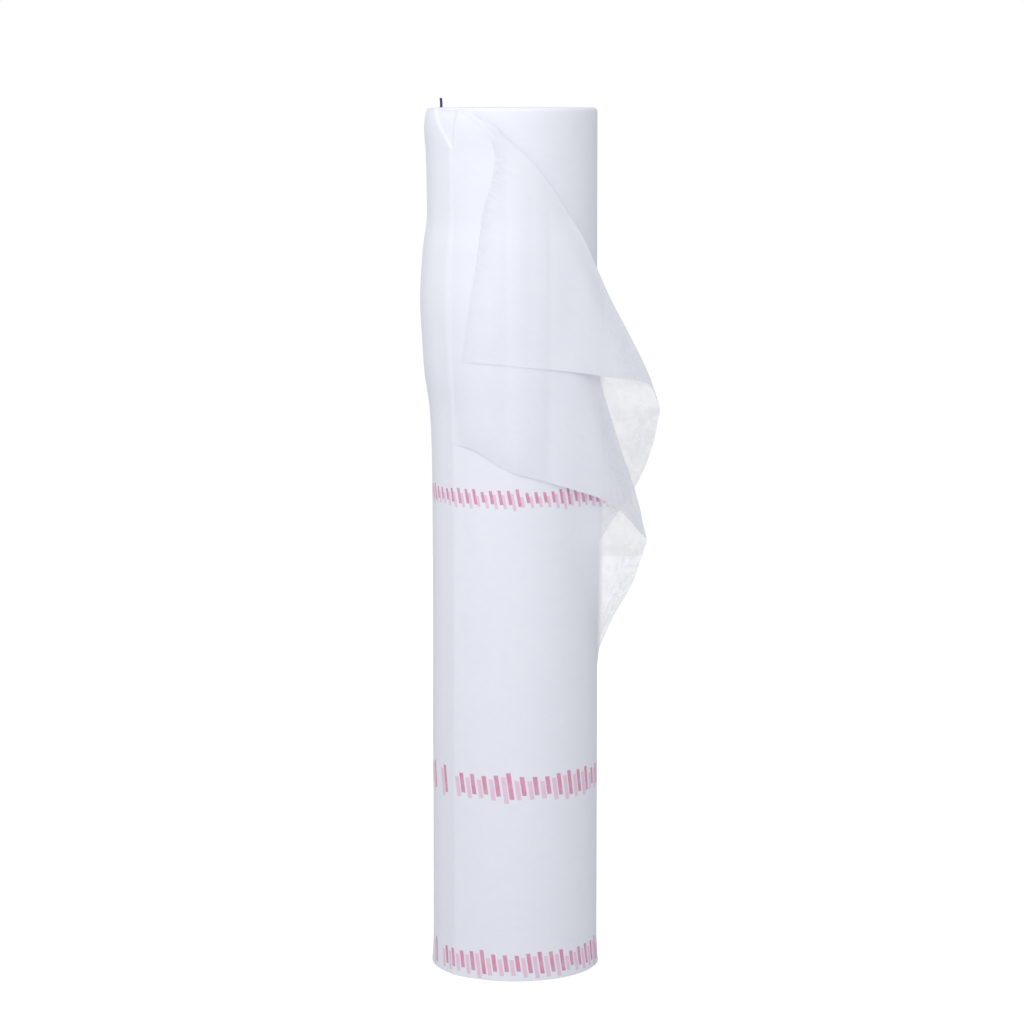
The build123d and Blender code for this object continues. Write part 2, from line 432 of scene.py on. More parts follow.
print("lathe body:", len(roll.data.polygons), "faces")

# %% [markdown]
# The turns on the ends follow a rule: one spiral from the bore to the rim, the same step further
# out each time round. Geometry Nodes have a spiral curve for this. A thin upright strip is
# carried along it, and noise lifts some turns above others, as they never wind quite level.

# %% Geometry Nodes: the turns on one end
turn_pitch = 0.0009
strip_width = 0.0005
strip_height = 0.004
turn_unevenness = 0.0016
unevenness_scale = 0.21
unevenness_detail = 4.0
noise_middle = 0.5
points_per_turn = 48

turn_inputs = [
    ("Geometry", "NodeSocketGeometry", None),
    ("Turns", "NodeSocketFloat", 1.0),
    ("Inner Radius", "NodeSocketFloat", bore_radius),
    ("Outer Radius", "NodeSocketFloat", base_radius),
    ("Strip Width", "NodeSocketFloat", strip_width),
    ("Strip Height", "NodeSocketFloat", strip_height),
    ("Unevenness", "NodeSocketFloat", turn_unevenness),
    ("Level", "NodeSocketFloat", 0.0),
    ("Seed", "NodeSocketFloat", 0.0),
    ("Material", "NodeSocketMaterial", None),
]
turn_group, turn_in, turn_out = new_group(
    "wound_turns", "GeometryNodeTree", turn_inputs, [("Geometry", "NodeSocketGeometry")]
)
spiral = add_node(
    turn_group,
    "GeometryNodeCurveSpiral",
    {
        "Resolution": points_per_turn,
        "Rotations": (turn_in, "Turns"),
        "Start Radius": (turn_in, "Inner Radius"),
        "End Radius": (turn_in, "Outer Radius"),
        "Height": 0.0,
    },
)
along_share = add_node(turn_group, "GeometryNodeSplineParameter")
turn_number = calculate(turn_group, "MULTIPLY", (along_share, "Factor"), (turn_in, "Turns"))
seeded = calculate(turn_group, "ADD", turn_number, (turn_in, "Seed"))
coarse = add_node(
    turn_group,
    "ShaderNodeTexNoise",
    {"W": seeded, "Scale": unevenness_scale, "Detail": unevenness_detail},
    noise_dimensions="1D",
)
centred = calculate(turn_group, "SUBTRACT", (coarse, 0), noise_middle)
lifted = calculate(turn_group, "MULTIPLY_ADD", centred, (turn_in, "Unevenness"), (turn_in, "Level"))
lift = add_node(turn_group, "ShaderNodeCombineXYZ", {"Z": lifted})
uneven = add_node(turn_group, "GeometryNodeSetPosition", {"Geometry": (spiral, 0), "Offset": (lift, 0)})
upright = add_node(turn_group, "GeometryNodeSetCurveNormal", {"Curve": (uneven, 0)}, mode="Z_UP")
strip = add_node(
    turn_group,
    "GeometryNodeCurvePrimitiveQuadrilateral",
    {"Width": (turn_in, "Strip Width"), "Height": (turn_in, "Strip Height")},
    mode="RECTANGLE",
)
turn_walls = add_node(
    turn_group,
    "GeometryNodeCurveToMesh",
    {"Curve": (upright, 0), "Profile Curve": (strip, 0), "Fill Caps": True},
)
realized = add_node(turn_group, "GeometryNodeRealizeInstances", {0: (turn_walls, 0)})
finished = add_node(
    turn_group, "GeometryNodeSetMaterial", {0: (realized, 0), "Material": (turn_in, "Material")}
)
turn_group.links.new(finished.outputs[0], turn_out.inputs[0])


def nodes_to_mesh(name, group, values):
    """Run a geometry node group on an empty mesh and keep what it makes as a plain mesh object."""
    maker = bpy.data.objects.new(name, bpy.data.meshes.new(name))
    bpy.context.scene.collection.objects.link(maker)
    modifier = maker.modifiers.new("maker", "NODES")
    modifier.node_group = group
    sockets = {item.name: item.identifier for item in group.interface.items_tree if item.in_out == "INPUT"}
    for socket_name, value in values.items():
        modifier[sockets[socket_name]] = value
    graph = bpy.context.evaluated_depsgraph_get()
    made = bpy.data.meshes.new_from_object(maker.evaluated_get(graph))
    maker.modifiers.remove(modifier)
    maker.data = made
    return maker


top_level = roll_height - strip_height / 2 - turn_unevenness / 2
base_level = strip_height / 2 + turn_unevenness / 2
ends = []
for end_name, level, outer in (("top_end", top_level, top_radius), ("base_end", base_level, base_radius)):
    reach = outer - rim_round / 2
    end = nodes_to_mesh(
        f"{end_name}_turns",
        turn_group,
        {
            "Turns": (reach - bore_radius) / turn_pitch,
            "Inner Radius": bore_radius + strip_width,
            "Outer Radius": reach,
            "Strip Width": strip_width,
            "Strip Height": strip_height,
            "Unevenness": turn_unevenness,
            "Level": level,
            "Seed": level,
            "Material": wound_material,
        },
    )
    ends.append(end)
    print(end.name, len(end.data.polygons), "faces")

# %% [markdown]
# The loose plies are drawn from the lines that the photograph shows from the front: where each
# folded corner turns over, where its flap ends, and where the cut end hangs. A line is a few
# given points, read as one smooth curve that never overshoots its points.


# %% A smooth line through a few points
def smooth_line(points, places):
    """Values at some places of a smooth curve through (place, value) points, flat past its ends."""
    known, values = np.array(sorted(points), dtype=float).T
    steps = np.diff(known)
    slopes = np.diff(values) / steps
    tangents = np.concatenate([slopes[:1], np.zeros(len(slopes) - 1), slopes[-1:]])
    before, after = slopes[:-1], slopes[1:]
    rising = before * after > 0
    total = np.where(rising, before + after, 1.0)
    tangents[1:-1] = np.where(rising, 2 * before * after / total, 0.0)
    places = np.clip(np.asarray(places, dtype=float), known[0], known[-1])
    cell = np.clip(np.searchsorted(known, places) - 1, 0, len(steps) - 1)
    share = (places - known[cell]) / steps[cell]
    rest = 1 - share
    return (
        values[cell] * rest * rest * (1 + 2 * share)
        + values[cell + 1] * share * share * (3 - 2 * share)
        + tangents[cell] * steps[cell] * share * rest * rest
        - tangents[cell + 1] * steps[cell] * share * share * rest
    )


# %% The lines of the loose turn, as seen from the front
# How far the loose turn stands off the left side: (height, distance)
slack_line = (
    (0.60, 0.0),
    (0.739, 0.0015),
    (0.796, 0.004),
    (0.852, 0.0118),
    (0.895, 0.015),
    (0.951, 0.018),
    (1.021, 0.0138),
    (1.071, 0.0075),
    (1.154, 0.0090),
    (1.188, 0.0115),
    (1.200, 0.0105),
    (1.214, 0.0065),
)
# Where the plies leave the roll at the front: (height, degrees round the axis, 270 in front)
leave_line = (
    (0.614, 308.5),
    (0.740, 306.5),
    (0.843, 305.5),
    (0.952, 304.0),
    (1.000, 302.5),
    (1.040, 300.0),
)
# The straight length that is left at least between the roll and a fold
least_free = 0.011
# Lines as (x, z): the fold from tip to top, the flap's left edge from its corner up, its lower
# edge from tip to corner, and the cut end from the tip down
outer_lines = {
    "fold": (
        (0.1875, 0.612),
        (0.167, 0.689),
        (0.149, 0.740),
        (0.117, 0.843),
        (0.088, 0.952),
        (0.044, 1.076),
        (0.0, 1.152),
        (-0.038, 1.190),
        (-0.068, 1.2135),
    ),
    "left": (
        (-0.082, 0.757),
        (-0.083, 0.80),
        (-0.084, 0.95),
        (-0.083, 1.10),
        (-0.079, 1.17),
        (-0.076, 1.2135),
    ),
    "lower": (
        (0.1875, 0.612),
        (0.116, 0.676),
        (0.069, 0.697),
        (0.040, 0.708),
        (-0.015, 0.725),
        (-0.033, 0.737),
        (-0.061, 0.753),
        (-0.082, 0.757),
    ),
    "cut": (
        (0.1875, 0.612),
        (0.1675, 0.543),
        (0.142, 0.493),
        (0.1205, 0.441),
    ),
}
inner_lines = {
    "fold": (
        (0.2055, 0.800),
        (0.181, 0.858),
        (0.157, 0.907),
        (0.133, 0.952),
        (0.111, 1.000),
        (0.0935, 1.040),
        (0.0715, 1.076),
        (0.047, 1.115),
        (0.0225, 1.146),
        (-0.012, 1.178),
        (-0.037, 1.201),
        (-0.056, 1.2135),
    ),
    "left": (
        (-0.072, 0.873),
        (-0.062, 0.947),
        (-0.052, 1.012),
        (-0.042, 1.086),
        (-0.034, 1.11),
        (-0.0275, 1.15),
        (-0.034, 1.18),
        (-0.0425, 1.203),
        (-0.052, 1.2135),
    ),
    "lower": (
        (0.2055, 0.800),
        (0.190, 0.831),
        (0.119, 0.849),
        (0.075, 0.858),
        (0.018, 0.866),
        (-0.025, 0.8705),
        (-0.072, 0.873),
    ),
    "cut": (
        (0.2055, 0.800),
        (0.196, 0.744),
        (0.175, 0.685),
        (0.151, 0.646),
        (0.134, 0.619),
        (0.1195, 0.593),
    ),
}
# Both plies start behind the roll, lie on it for the first stretch, and end before they meet again
start_angle = math.radians(42)
start_settle = math.radians(60)
most_wrap = math.radians(356)
front_angle = math.radians(270)
# Below its tip the cut end runs further round by a share of the drop, and comes to rest on the roll
cut_slant_share = 0.15
cut_settle = 0.12
top_edge = 1.2135
print("lines of", len(outer_lines) + len(inner_lines), "edges")

# %% [markdown]
# At each height a ply is a path: round the roll from its start behind, straight out to the right
# from where it leaves the roll, round a soft bend, and back over the front as a flap. The path
# places a point by how far along it lies, how high it is and how far it stands off the roll. The
# bulge of the loose turn is a circle that grows to the left and still touches the right side.
# Near the tip the bend gets tighter, so that the fold runs out in a point.

# %% The path of a ply
path_rows = 800
angle_trials = 200
distance_trials = 600
longest_flap = 0.4
bend_grows_over = 0.04
least_bend_share = 0.15


def smooth_share(value):
    """A share between 0 and 1 that starts and ends gently."""
    share = np.clip(value, 0, 1)
    return share * share * (3 - 2 * share)


class LoosePly:
    """Where one ply of the last turn lies."""

    def __init__(self, lines, wall_offset, fold_radius, flap_offset, settle_length):
        self.lines = lines
        self.wall_offset = wall_offset
        self.fold_radius = fold_radius
        self.flap_offset = flap_offset
        self.settle_length = settle_length
        self.tip_height = lines["fold"][0][1]
        self.heights = np.linspace(0, top_edge, path_rows)
        self.leaves, self.frees = self.solve_path(self.heights)

    def ring(self, height):
        """Middle and radius of the circle that the loose turn follows at a height."""
        slack = smooth_line(slack_line, height)
        return -slack / 2, roll_radius(height) + slack / 2

    def solve_path(self, heights):
        """Angle where the ply leaves the roll, and its free length beyond, for each height."""
        middle, radius = self.ring(heights)
        fold_x = smooth_line([(z, x) for x, z in self.lines["fold"]], heights)
        reach = radius + self.wall_offset
        straight = np.hypot(reach, least_free)
        fold_share = np.clip((fold_x - middle) / straight, -1, 1)
        latest = 2 * math.pi - np.arccos(fold_share) - np.arctan(least_free / reach)
        leaves = np.radians(smooth_line(leave_line, np.maximum(heights, self.tip_height)))
        leaves = np.minimum(leaves, latest)
        frees = (fold_x - middle - reach * np.cos(leaves)) / -np.sin(leaves) - self.fold_radius
        tip = int(np.searchsorted(heights, self.tip_height))
        web_length = radius[tip] * (leaves[tip] - start_angle) + frees[tip]
        cut_x = smooth_line([(z, x) for x, z in self.lines["cut"]], heights)
        lowest_cut = self.lines["cut"][-1][1]
        lengths = web_length + cut_slant_share * (self.tip_height - heights[:tip])
        lengths = np.minimum(lengths, radius[:tip] * most_wrap)
        for row, length in enumerate(lengths):
            full_angle = start_angle + length / radius[row]
            if heights[row] < lowest_cut:
                leaves[row] = full_angle
                continue
            angles = np.linspace(full_angle, front_angle, angle_trials)
            free = length - radius[row] * (angles - start_angle)
            ends_x = middle[row] + reach[row] * np.cos(angles) - free * np.sin(angles)
            leaves[row] = np.interp(cut_x[row], ends_x, angles)
        lowest = int(np.searchsorted(heights, lowest_cut))
        settled = smooth_share((lowest_cut - heights[:lowest]) / cut_settle)
        leaves[:lowest] = leaves[lowest] + (leaves[:lowest] - leaves[lowest]) * settled
        frees[:tip] = lengths - radius[:tip] * (leaves[:tip] - start_angle)
        self.web_length = web_length
        return leaves, frees

    def leave(self, height):
        return np.interp(height, self.heights, self.leaves)

    def free(self, height):
        return np.interp(height, self.heights, self.frees)

    def place(self, along, height, rise):
        """Points at distances past the leaving line (less than zero is still round the roll)."""
        middle, radius = self.ring(height)
        angle = self.leave(height) + np.minimum(along, 0) / radius
        straight = np.maximum(along, 0)
        gap = (radius - roll_radius(height)) * (1 - np.cos(angle))
        reach = radius + rise - gap * smooth_share(1 - (angle - start_angle) / start_settle)
        x = middle + reach * np.cos(angle) - straight * np.sin(angle)
        y = reach * np.sin(angle) + straight * np.cos(angle)
        return np.stack([x, y, np.broadcast_to(height, x.shape)], -1)

    def flap_path(self, distance, height):
        """How far along and how far off the roll the flap lies, at distances back from its fold."""
        above_tip = (height - self.tip_height) / bend_grows_over
        bend_radius = self.fold_radius * np.clip(above_tip, least_bend_share, 1)
        turn = np.clip(distance / bend_radius, 0, math.pi)
        past_bend = np.maximum(distance - math.pi * bend_radius, 0)
        along = self.free(height) + bend_radius * np.sin(turn) - past_bend
        settled = 1 - np.exp(-past_bend / self.settle_length)
        over_bend = self.wall_offset + bend_radius * (1 - np.cos(turn))
        return along, over_bend + settled * (self.flap_offset - self.wall_offset - 2 * bend_radius)

    def edge_distance(self, x, height):
        """Distance back from the fold at which the flap reaches a place seen from the front."""
        distances = np.linspace(0, longest_flap, distance_trials)
        along, rise = self.flap_path(distances, np.full_like(distances, height))
        seen = self.place(along, np.full_like(distances, height), rise)[:, 0]
        return float(np.interp(-x, -np.minimum.accumulate(seen), distances))


inner_ply = LoosePly(
    inner_lines, wall_offset=0.0006, fold_radius=0.0016, flap_offset=0.0022, settle_length=0.05
)
outer_ply = LoosePly(
    outer_lines, wall_offset=0.0013, fold_radius=0.0010, flap_offset=0.0018, settle_length=0.03
)
print("web of the last turn:", round(inner_ply.web_length, 3), round(outer_ply.web_length, 3))

# %% [markdown]
# Thin cloth is never quite even. All layers share one field of small swells, so they stay apart:
# a long crease down the left, where the cloth turns as flat planes do, a sunken pleat at the top
# left, short creases and wrinkles where the turn is slack, long faint streaks along the axis, and
# a flare with soft ripples at the foot.

# %% Swells and creases that all layers share
# The long crease: degrees round the axis, half its width, how soft its ridge is, where it ends
crease_angle = 224.0
crease_half = 12.0
crease_soft = 1.2
crease_top = 1.185
crease_fade = 0.02
# The pleat is open at the top edge: (degrees round the axis, height) of its left, foot and right
pleat_corners = ((206.0, 1.212), (227.3, 1.159), (229.3, 1.211))
pleat_height = -0.0018
pleat_soft = 0.004
flare_height = 0.045
flare_reach = 0.0030
ripple_share = 0.4
ripple_scale = (30.0, 30.0, 0.0)
# Short creases in the slack left side: (degrees round the axis, middle height, half length)
side_creases = ((190.0, 1.150, 0.030), (196.0, 1.118, 0.035), (186.0, 1.085, 0.025))
side_crease_depth = 0.0016
side_crease_half = 1.6
swell_height = 0.0005
swell_scale = (13.0, 13.0, 7.0)
streak_height = 0.0005
streak_scale = (24.0, 24.0, 1.6)
wrinkle_height = 0.0011
wrinkle_scale = (26.0, 26.0, 5.0)
most_slack = 0.018


def degrees_round(points):
    """Where points lie round the axis, 0 to 360."""
    return np.degrees(np.arctan2(points[..., 1], points[..., 0])) % 360


def noise_at(points, scale):
    """Smooth noise, about -1 to 1, at points stretched by a scale for each axis."""
    flat = (points * np.asarray(scale)).reshape(-1, 3)
    values = [noise.noise(Vector(point)) for point in flat]
    return np.array(values).reshape(points.shape[:-1])


def pleat(angles, heights):
    """Height of the small pleat: a triangle with soft sides, pointing down from the top edge."""
    depth = np.full(angles.shape, pleat_soft)
    scale = np.array([math.radians(1) * top_radius, 1.0])
    corners = np.array(pleat_corners) * scale
    for start, end in zip(corners[:-1], corners[1:]):
        along, up = (end - start) / np.linalg.norm(end - start)
        inside = along * (heights - start[1]) - up * (angles * scale[0] - start[0])
        depth = np.minimum(depth, inside)
    return pleat_height * smooth_share(depth / pleat_soft)


def shared_swell(points):
    """How far the cloth stands off its plain path at some points."""
    heights = points[..., 2]
    angles = degrees_round(points)
    from_crease = np.hypot(angles - crease_angle, crease_soft)
    within = np.radians(np.clip(crease_half - from_crease, 0, None))
    crease = roll_radius(heights) * (1 / np.cos(within) - 1)
    slack_share = smooth_line(slack_line, heights) / most_slack
    wrinkles = noise_at(points, wrinkle_scale) * slack_share * wrinkle_height
    swells = noise_at(points, swell_scale) * swell_height
    streaks = noise_at(points, streak_scale) * streak_height
    for crease_at, middle, half in side_creases:
        across = ((angles - crease_at) / side_crease_half) ** 2
        wrinkles = wrinkles - side_crease_depth * np.exp(-across - ((heights - middle) / half) ** 2)
    foot = np.clip(1 - heights / flare_height, 0, 1) ** 2
    ripples = 1 - ripple_share + ripple_share * noise_at(points, ripple_scale)
    return (
        crease * np.clip((crease_top - heights) / crease_fade, 0, 1)
        + pleat(angles, heights)
        + wrinkles
        + swells
        + streaks
        + flare_reach * foot * ripples
    )


print("pleat", pleat_height, "crease", crease_half, "flare", flare_reach)

# %% [markdown]
# Each ply is one grid for the wall and one for the flap, joined along the fold. The wall's rows
# are level. The flap's rows start on the fold and end on the flap's left edge, so the lowest one
# follows the lower edge from the tip to the corner. The helpers below choose where rows lie, draw
# up the top edge at the left, and lay out the flap.

# %% Rows of the wall and layout of the flap
# Where rows get closer: (height, distance between rows from there on)
row_heights = ((0.001, 0.012), (0.42, 0.006), (1.15, 0.0016))
lifted_edge = 0.0042
lifted_from = 1.165
lifted_until = 218.0
lifted_fade = 12.0
flap_columns = 64
least_flap_width = 0.006


def level_rows(low, high):
    """Heights between two others, closer together where the cloth has finer creases."""
    rows = [low]
    ends = [height for height, step in row_heights[1:]] + [high]
    for (start, step), end in zip(row_heights, ends):
        start, end = max(start, low), min(end, high)
        if end > start:
            rows += np.linspace(start, end, max(2, round((end - start) / step)) + 1)[1:].tolist()
    return np.array(rows)


def lift_top(points):
    """Raise the top edge at the left, where the slack turn is drawn up level with the roll's end."""
    up_share = np.clip((points[..., 2] - lifted_from) / (top_edge - lifted_from), 0, 1)
    left_share = np.clip((lifted_until - degrees_round(points)) / lifted_fade, 0, 1)
    points[..., 2] += lifted_edge * up_share * left_share
    return points


def flap_chart(ply, fold_heights):
    """Distance back from the fold and height for each point of the flap."""
    lower = np.array(ply.lines["lower"])
    tip_height, corner_height = lower[0, 1], lower[-1, 1]
    distances = np.array([ply.edge_distance(x, z) for x, z in lower])
    distances[0] = 0
    lengths = np.concatenate([[0], np.cumsum(np.hypot(np.diff(distances), np.diff(lower[:, 1])))])
    shares = lengths / lengths[-1]
    columns = np.linspace(0, 1, flap_columns + 1)
    edge_distances = smooth_line(list(zip(shares, distances)), columns)
    edge_rises = smooth_line(list(zip(shares, lower[:, 1])), columns) - tip_height
    edge_rises /= corner_height - tip_height
    up = (fold_heights - fold_heights[0]) / (fold_heights[-1] - fold_heights[0])
    left_heights = corner_height + (top_edge - corner_height) * up
    left_x = smooth_line([(z, x) for x, z in ply.lines["left"]], left_heights)
    left_distances = np.array([ply.edge_distance(x, z) for x, z in zip(left_x, left_heights)])
    widths = np.maximum(left_distances, least_flap_width) / edge_distances[-1]
    distance = widths[:, None] * edge_distances[None, :]
    height = fold_heights[:, None] + (left_heights - fold_heights)[:, None] * edge_rises[None, :]
    return distance, height


print("flap columns:", flap_columns)

# %% [markdown]
# Now a ply can be built. The wall's points come first, then the flap's, which share the fold with
# it. Each ply also gets an attribute that says how loose it is: the part of the wall that has
# left the roll hangs free, and each flap has its own field. The flap's UVs are shifted up, away
# from the printed rows, because its face is the back of the web. A last Solidify gives the cloth
# its thickness.

# %% Build a ply
# Columns of the wall: (angle where they start, how many), and those that end on the fold
column_angles = ((start_angle, 40), (math.radians(200), 24), (math.radians(crease_angle), 76))
end_columns = 36
least_end = 0.02
# The print sinks along the free end, which hangs down a little
print_droop = 0.045
print_droop_reach = 0.19
flap_print_shift = 3.0
loose_reach = 0.008
fold_hold = 0.03
web_thickness = 0.0003
sharp_rim = math.radians(50)


def build_ply(name, ply, material, flap_lift, flap_looseness):
    """One ply as a mesh: its wall, its fold and its flap."""
    lower_rows = level_rows(row_heights[0][0], ply.tip_height)
    upper_rows = level_rows(ply.tip_height, top_edge)
    count = len(lower_rows) - 1
    rows = np.concatenate([lower_rows[:-1], upper_rows])
    leave, free = ply.leave(rows)[:, None], ply.free(rows)[:, None]
    radius = ply.ring(rows)[1][:, None]
    end_from = free - np.maximum(free, least_end)
    angles = []
    ends = [angle for angle, number in column_angles[1:]] + [leave + end_from / radius]
    for (start, number), end in zip(column_angles, ends):
        run = start + (end - start) * np.linspace(0, 1, number, endpoint=False)
        angles.append(np.broadcast_to(run, (len(rows), number)))
    angles = np.concatenate(angles, 1)
    end_run = end_from + (free - end_from) * np.linspace(0, 1, end_columns + 1)
    along = np.concatenate([(angles - leave) * radius, end_run], 1)
    heights = np.broadcast_to(rows[:, None], along.shape)
    plain = ply.place(along, heights, np.zeros_like(along))
    wall = lift_top(ply.place(along, heights, ply.wall_offset + shared_swell(plain)))
    web = along + (leave - start_angle) * radius
    droop = print_droop * (np.maximum(along, 0) / print_droop_reach) ** 2
    wall_uvs = np.stack([web, heights + droop], -1)
    wall_loose = np.clip((wall[..., 0] - base_radius) / loose_reach, 0, 1)

    distance, flap_heights = flap_chart(ply, upper_rows)
    flap_along, flap_rise = ply.flap_path(distance, flap_heights)
    flap_plain = ply.place(flap_along, flap_heights, np.zeros_like(flap_along))
    spots = {
        "points": flap_plain,
        "above": flap_heights - flap_heights[:1],
        "across": np.linspace(0, 1, flap_columns + 1)[None, :],
        "inward": distance[:, -1:] - distance,
    }
    off_fold = 1 - np.exp(-((distance / fold_hold) ** 2))
    flap_rise = flap_rise + shared_swell(flap_plain) + flap_lift(spots) * off_fold
    flap = ply.place(flap_along, flap_heights, flap_rise)
    flap_uvs = np.stack([web[count:, -1:] + distance, flap_print_shift + flap_heights], -1)
    flap_loose = flap_looseness(spots)[:, 1:]

    wall_columns = wall.shape[1]
    flap_points = flap[:, 1:].reshape(-1, 3)
    faces = grid_faces(len(rows), wall_columns)
    fold_numbers = (np.arange(count, len(rows)) * wall_columns + wall_columns - 1)[:, None]
    first = wall.shape[0] * wall_columns
    flap_numbers = first + np.arange(len(upper_rows) * flap_columns).reshape(-1, flap_columns)
    numbers = np.concatenate([fold_numbers, flap_numbers], 1)
    flap_faces = np.stack([numbers[:-1, :-1], numbers[:-1, 1:], numbers[1:, 1:], numbers[1:, :-1]], -1)
    points = np.concatenate([wall.reshape(-1, 3), flap_points])
    uvs = np.concatenate([wall_uvs.reshape(-1, 2), flap_uvs[:, 1:].reshape(-1, 2)])
    piece = new_piece(name, points, np.concatenate([faces, flap_faces.reshape(-1, 4)]), uvs, material)
    looseness = np.concatenate([wall_loose.ravel(), flap_loose.ravel()])
    attribute = piece.data.attributes.new("loose", "FLOAT", "POINT")
    attribute.data.foreach_set("value", looseness.astype(np.float32))
    thicken = piece.modifiers.new("thickness", "SOLIDIFY")
    thicken.thickness = web_thickness
    thicken.offset = 0
    graph = bpy.context.evaluated_depsgraph_get()
    solid = bpy.data.meshes.new_from_object(piece.evaluated_get(graph))
    piece.modifiers.remove(thicken)
    piece.data = solid
    piece.data.set_sharp_from_angle(angle=sharp_rim)
    print(name, len(piece.data.polygons), "faces")
    return piece


print("wall columns:", sum(number for angle, number in column_angles) + end_columns)

# %% [markdown]
# The flaps do not lie flat. The outer ply's flap hangs in shallow upright flutes, swells out above
# its lower edge and keeps clear of the roll on its way to the fold. The inner ply's flap lies on
# top of it, so it follows the same field. It swells beside its left edge, and its lower edge
# stands off in the middle. A field of points raised by formulas was chosen over a cloth
# simulation, because the folds have to lie where the photograph shows them.

# %% How the flaps stand off
# Flutes of the outer ply's flap: (degrees round the axis, share of their height)
flute_shares = ((228, 0), (240, 1), (264, 0), (273, 1), (291, 0))
flute_height = 0.0028
flute_from = 1.18
flute_fade = 0.12
# Where the outer ply's flap swells: (degrees round the axis, share of the swell)
bulge_shares = ((228, 0), (246, 1), (275, 1), (292, 0.3))
bulge_height = 0.0050
bulge_above = 0.045
# The flaps stay in front of the roll on their way to the fold: (distance to the right, share)
shoulder_shares = ((0.020, 0), (0.050, 0.3), (0.080, 0.72), (0.105, 0.95), (0.130, 1))
shoulder_height = 0.014
# How far the inner ply's flap swells beside its left edge: (height, distance)
edge_swell = (
    (0.873, 0.0012),
    (0.92, 0.0050),
    (1.10, 0.0070),
    (1.15, 0.0065),
    (1.18, 0.003),
    (1.205, 0),
)
edge_width = 0.030
# How far the middle of its lower edge stands off, up to what height, and where, as shares of the
# way across
stand_off = 0.005
stand_off_height = 0.05
stand_off_middle_share = 0.42
stand_off_width_share = 0.2


def rounded_peak(share):
    """Rises from 0 to 1 at a share of 1, then dies away slowly."""
    return share * np.exp(1 - share)


def swell_share(points):
    """Share of the outer flap's swell, by where a point lies round the roll and above the edge."""
    edge = smooth_line(outer_lines["lower"], points[..., 0])
    above_edge = np.maximum(points[..., 2] - edge, 0)
    return rounded_peak(above_edge / bulge_above) * smooth_line(bulge_shares, degrees_round(points))


def outer_flap_lift(spots):
    """Flutes, the swell, and the shoulder on the way to the fold."""
    points = spots["points"]
    flute = np.sqrt(smooth_line(flute_shares, degrees_round(points)))
    flute = flute * np.clip((flute_from - points[..., 2]) / flute_fade, 0, 1)
    shoulder = shoulder_height * smooth_line(shoulder_shares, points[..., 0])
    return flute_height * flute + bulge_height * swell_share(points) + shoulder


def inner_flap_lift(spots):
    """What the outer flap does below it, a swell beside its left edge, and a free lower edge."""
    swell = smooth_line(edge_swell, spots["points"][..., 2]) * rounded_peak(spots["inward"] / edge_width)
    from_middle = (spots["across"] - stand_off_middle_share) / stand_off_width_share
    free_edge = np.exp(-((spots["above"] / stand_off_height) ** 2)) * np.exp(-(from_middle**2))
    return outer_flap_lift(spots) + swell + stand_off * free_edge


print("shoulder", shoulder_height, "swell", bulge_height, "flutes", flute_height)

# %% [markdown]
# Most of each flap lies on other cloth and looks opaque. It gets a share of the looseness of the
# free ends where there is only air close behind it: past the right side of the roll, in the swell
# of the outer ply's flap, and in a band beside the left edge of the inner ply's. Those stretches
# look a little darker or lighter than the rest, as they do in real thin web.

# %% How loose the flaps are, and the two plies
past_roll_share = 0.5
past_roll_reach = 0.012
share_at_side = 0.5
swell_loose_share = 0.18
edge_loose_share = 0.7
edge_band = 0.018
# How the band fades along the edge: (height, share)
edge_band_shares = ((0.873, 0.35), (0.98, 0.5), (1.06, 0.85), (1.13, 1), (1.17, 0.9), (1.205, 0))


def past_roll_looseness(points):
    """Looseness where a flap has passed the right side of the roll."""
    past = (points[..., 0] - base_radius) / past_roll_reach + share_at_side
    return past_roll_share * np.clip(past, 0, 1)


def outer_flap_looseness(spots):
    points = spots["points"]
    return swell_loose_share * swell_share(points) + past_roll_looseness(points)


def inner_flap_looseness(spots):
    points = spots["points"]
    band = edge_loose_share * np.exp(-((spots["inward"] / edge_band) ** 2))
    return band * smooth_line(edge_band_shares, points[..., 2]) + past_roll_looseness(points)


outer_piece = build_ply("outer_loose_ply", outer_ply, outer_material, outer_flap_lift, outer_flap_looseness)
inner_piece = build_ply("inner_loose_ply", inner_ply, inner_material, inner_flap_lift, inner_flap_looseness)

# %% [markdown]
# The short blue peg keeps the shape of its solid and gets a dark plastic with a faint grain.

# %% Peg material
peg_dark = (0.012, 0.008, 0.11, 1.0)
peg_light = (0.03, 0.018, 0.20, 1.0)
peg_roughness = 0.42
peg_grain_scale = 900.0
peg_grain_detail = 3.0

peg_material = bpy.data.materials.new("dark_blue_plastic")
peg_material.use_nodes = True
peg_tree = peg_material.node_tree
peg_shader = peg_tree.nodes["Principled BSDF"]
peg_coordinates = add_node(peg_tree, "ShaderNodeTexCoord")
peg_grain = add_node(
    peg_tree,
    "ShaderNodeTexNoise",
    {"Vector": (peg_coordinates, "Object"), "Scale": peg_grain_scale, "Detail": peg_grain_detail},
)
peg_ramp = add_node(peg_tree, "ShaderNodeMix", data_type="RGBA")
peg_tree.links.new(peg_grain.outputs[0], peg_ramp.inputs["Factor"])
peg_ramp.inputs["A"].default_value = peg_dark
peg_ramp.inputs["B"].default_value = peg_light
peg_tree.links.new(peg_ramp.outputs["Result"], peg_shader.inputs["Base Color"])
peg_shader.inputs["Roughness"].default_value = peg_roughness
peg = frame["nodes"]["blue_peg"]
peg.data.materials.clear()
peg.data.materials.append(peg_material)
print("peg finished in", peg_material.name)

# %% [markdown]
# The light is a studio's: an even glow all round does most of it. The background is white for the
# camera and for shiny surfaces alone, so that it adds no light to the roll.

# %% World
world_light = 0.61
glow_colour = (0.97, 0.98, 1.0, 1.0)
backdrop_white = (1.0, 1.0, 1.0, 1.0)

